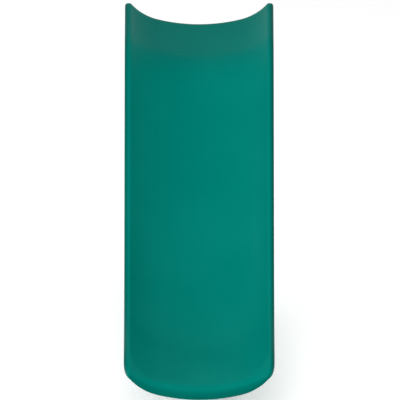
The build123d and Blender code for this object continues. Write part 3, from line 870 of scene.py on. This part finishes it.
def makeCaps(c, b, g):
    spots = []
    middle = -(bosses["depth"] + b["strip"] + b["depth"] / 2)
    for y, z, tilt in bearerAt:
        for side in (-1, 1):
            turn, place = surfaceSpot(y, z, tilt, (side * b["halfLength"], 0, middle))
            spots.append((turn @ turnTo((0, side, 0), (0, 0, 1), (side, 0, 0)), place))
    bearerCap = capGrid(c, b["width"], b["depth"], b["wall"])
    addPiece("bearerCaps", *copies(*bearerCap, spots), [capPlastic],
             replaced=["bearer_caps"], slot="cap", weld=1e-7)
    railMiddle = facts["exitZ"] + (g["railTop"] + g["railBottom"]) / 2
    railCap = capGrid(c, g["railWidth"], g["railTop"] - g["railBottom"], g["railWall"])
    legCap = capGrid(c, g["size"], g["size"], g["wall"])
    facing = turnTo((1, 0, 0), (0, 0, 1), (0, -1, 0))
    for side, word in ((-1, "left"), (1, "right")):
        low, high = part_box(word + "_rail_cap")
        place = np.array([side * g["railX"], low.y + c["head"], railMiddle])
        addPiece(word + "RailCap", *copies(*railCap, [(facing, place)]), [capPlastic],
                 replaced=[word + "_rail_cap"], slot="cap", weld=1e-7)
        low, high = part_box(word + "_leg_cap")
        place = np.array([side * g["x"], legY, high.z - c["head"]])
        addPiece(word + "LegCap", *copies(*legCap, [(np.eye(3), place)]), [capPlastic],
                 replaced=[word + "_leg_cap"], slot="cap", weld=1e-7)


makeCaps(tubeCaps, bearers, legs)

welds = {
    "radius": 0.0032,
    "ripple": 0.12,               # share of the radius
    "pitch": 0.0019,              # from one ripple to the next
    "columns": 12,
    "halfOnRail": 0.012,
    "short": 0.003,               # a bead stops this far from a corner
}


# bead from a to b: radius = r * (1 + ripple * |sin(pi s / pitch)|), rounded off at both ends
def beadGrid(a, b, w):
    a, b = np.array(a, float), np.array(b, float)
    length = np.linalg.norm(b - a)
    rows = max(12, int(length / w["pitch"] * 5))
    s = np.linspace(0, length, rows)
    ends = np.sqrt(np.clip(1 - (1 - np.clip(np.minimum(s, length - s) / w["radius"], 0, 1)) ** 2, 0, 1))
    r = w["radius"] * ends * (1 + w["ripple"] * (np.abs(np.sin(math.pi * s / w["pitch"])) - 0.6))
    along = (b - a) / length
    side = np.cross(along, (0.31, 0.83, 0.46))
    side /= np.linalg.norm(side)
    up = np.cross(along, side)
    angle = np.linspace(0, 2 * math.pi, w["columns"], endpoint=False)
    ring = np.cos(angle)[None, :, None] * side + np.sin(angle)[None, :, None] * up
    points = a + s[:, None, None] * along + r[:, None, None] * ring
    return points, gridFaces(rows, w["columns"], ringed=True)


def makeWelds(w, b, g):
    grids = []
    short = w["short"]
    low = -(bosses["depth"] + b["strip"] + b["depth"])
    for y, z, tilt in bearerAt:
        for side in (-1, 1):
            for edge in (-1, 1):
                x0, x1 = side * (g["railX"] - w["halfOnRail"]), side * (g["railX"] + w["halfOnRail"])
                local = [(x0, edge * b["width"] / 2, low), (x1, edge * b["width"] / 2, low)]
                ends = [surfaceSpot(y, z, tilt, p)[1] for p in local]
                grids.append(beadGrid(ends[0], ends[1], w))
    half = g["railWidth"] / 2
    top, bottom = ride["bedZ"] + g["railTop"], ride["bedZ"] + g["railBottom"]
    footZ = ride["groundZ"] + g["plateThick"]
    braceZ = (footZ + facts["exitZ"] + g["railBottom"]) / 2
    hb, vb = g["brace"][0] / 2, g["brace"][1] / 2
    for side in (-1, 1):
        x, y = side * g["railX"], ride["deckEndY"]
        x0, x1 = x - half + short, x + half - short
        grids.append(beadGrid((x0, y, top), (x1, y, top), w))
        grids.append(beadGrid((x0, y, bottom), (x1, y, bottom), w))
        for edge in (-1, 1):
            edgeX = x + edge * half
            grids.append(beadGrid((edgeX, y, bottom + short), (edgeX, y, top - short), w))
        cx, s = side * g["x"], g["size"] / 2
        reach = s - short
        for edge in (-1, 1):
            legEdgeX, legEdgeY = cx + edge * s, legY + edge * s
            grids.append(beadGrid((cx - reach, legEdgeY, footZ), (cx + reach, legEdgeY, footZ), w))
            grids.append(beadGrid((legEdgeX, legY - reach, footZ), (legEdgeX, legY + reach, footZ), w))
        inner = side * (g["x"] - s)
        for edge in (-1, 1):
            braceY, z = legY + edge * hb, braceZ + edge * vb
            grids.append(beadGrid((inner, legY - hb + short, z), (inner, legY + hb - short, z), w))
            braceLow, braceHigh = braceZ - vb + short, braceZ + vb - short
            grids.append(beadGrid((inner, braceY, braceLow), (inner, braceY, braceHigh), w))
    points, quads = joinGrids(grids)
    addPiece("weldBeads", points, quads, [steel], slot="steel", weld=1e-7)


makeWelds(welds, bearers, legs)

# what stays as the frame made it gets its finish
for name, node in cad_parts.items():
    if node.hide_render:
        continue
    look = steel
    if name.startswith("rubber"):
        look = rubber
    elif name == "chute_inserts":
        look = brass
    if not node.material_slots:
        node.data.materials.append(look)
    for materialSlot in node.material_slots:
        materialSlot.material = look
print("frame nodes finished")

view = {
    "elevation": math.radians(29.3),
    "distance": 70.0,
    "frameHeight": 1.6844,        # metres across the view at the object
    "sensor": 36.0,
    "aim": (0.0034, -0.9, -0.2966),
}


def placeCamera(v):
    data = bpy.data.cameras.new("frontView")
    data.sensor_width = v["sensor"]
    data.lens = v["sensor"] * v["distance"] / v["frameHeight"]
    data.clip_end = 4 * v["distance"]
    camera = bpy.data.objects.new("frontView", data)
    bpy.context.scene.collection.objects.link(camera)
    back = Vector((0, -math.cos(v["elevation"]), math.sin(v["elevation"])))
    camera.location = Vector(v["aim"]) + back * v["distance"]
    camera.rotation_euler = (-back).to_track_quat("-Z", "Y").to_euler()
    bpy.context.scene.camera = camera


placeCamera(view)

studio = {
    "floorSize": 30.0,
    "floorColour": (0.95, 0.95, 0.95),
    "floorGlow": 0.12,            # keeps the floor white out to its edges
    "worldStrength": 0.68,
    "centre": (0.0, -0.93, -0.3),
    # name, turn from the front towards the left, height angle, distance, size, power
    "lights": [
        ("key", 76.0, 22.0, 4.5, 2.6, 148.0),
        ("front", 0.0, 50.0, 4.5, 2.6, 40.0),
        ("lowFront", 0.0, 15.0, 4.5, 2.6, 30.0),
        ("fill", -60.0, 40.0, 4.5, 2.6, 58.0),
    ],
}


def makeStudio(s):
    material, shader = newMaterial("paleFloor", s["floorColour"], 0.95, specular=0.1)
    shader.inputs["Emission Color"].default_value = (1, 1, 1, 1)
    shader.inputs["Emission Strength"].default_value = s["floorGlow"]
    corners = np.array([[-1, -1, 0], [1, -1, 0], [1, 1, 0], [-1, 1, 0]], float) * s["floorSize"]
    corners[:, 2] = ride["groundZ"] - 0.0005
    mesh = bpy.data.meshes.new("floor")
    mesh.from_pydata(corners.tolist(), [], [[0, 1, 2, 3]])
    mesh.materials.append(material)
    floor = bpy.data.objects.new("floor", mesh)
    bpy.context.scene.collection.objects.link(floor)
    centre = Vector(s["centre"])
    for name, turn, rise, distance, size, power in s["lights"]:
        turn, rise = math.radians(turn), math.radians(rise)
        toward = Vector((-math.sin(turn) * math.cos(rise), -math.cos(turn) * math.cos(rise), math.sin(rise)))
        data = bpy.data.lights.new(name, "AREA")
        data.shape = "SQUARE"
        data.size = size
        data.energy = power
        lamp = bpy.data.objects.new(name, data)
        lamp.location = centre + toward * distance
        lamp.rotation_euler = (-toward).to_track_quat("-Z", "Y").to_euler()
        bpy.context.scene.collection.objects.link(lamp)
    world = bpy.data.worlds.new("studio")
    world.use_nodes = True
    world.node_tree.nodes["Background"].inputs["Color"].default_value = (1, 1, 1, 1)
    world.node_tree.nodes["Background"].inputs["Strength"].default_value = s["worldStrength"]
    bpy.context.scene.world = world
    bpy.context.scene.view_settings.view_transform = "Standard"


makeStudio(studio)
print("camera, floor and lights set")
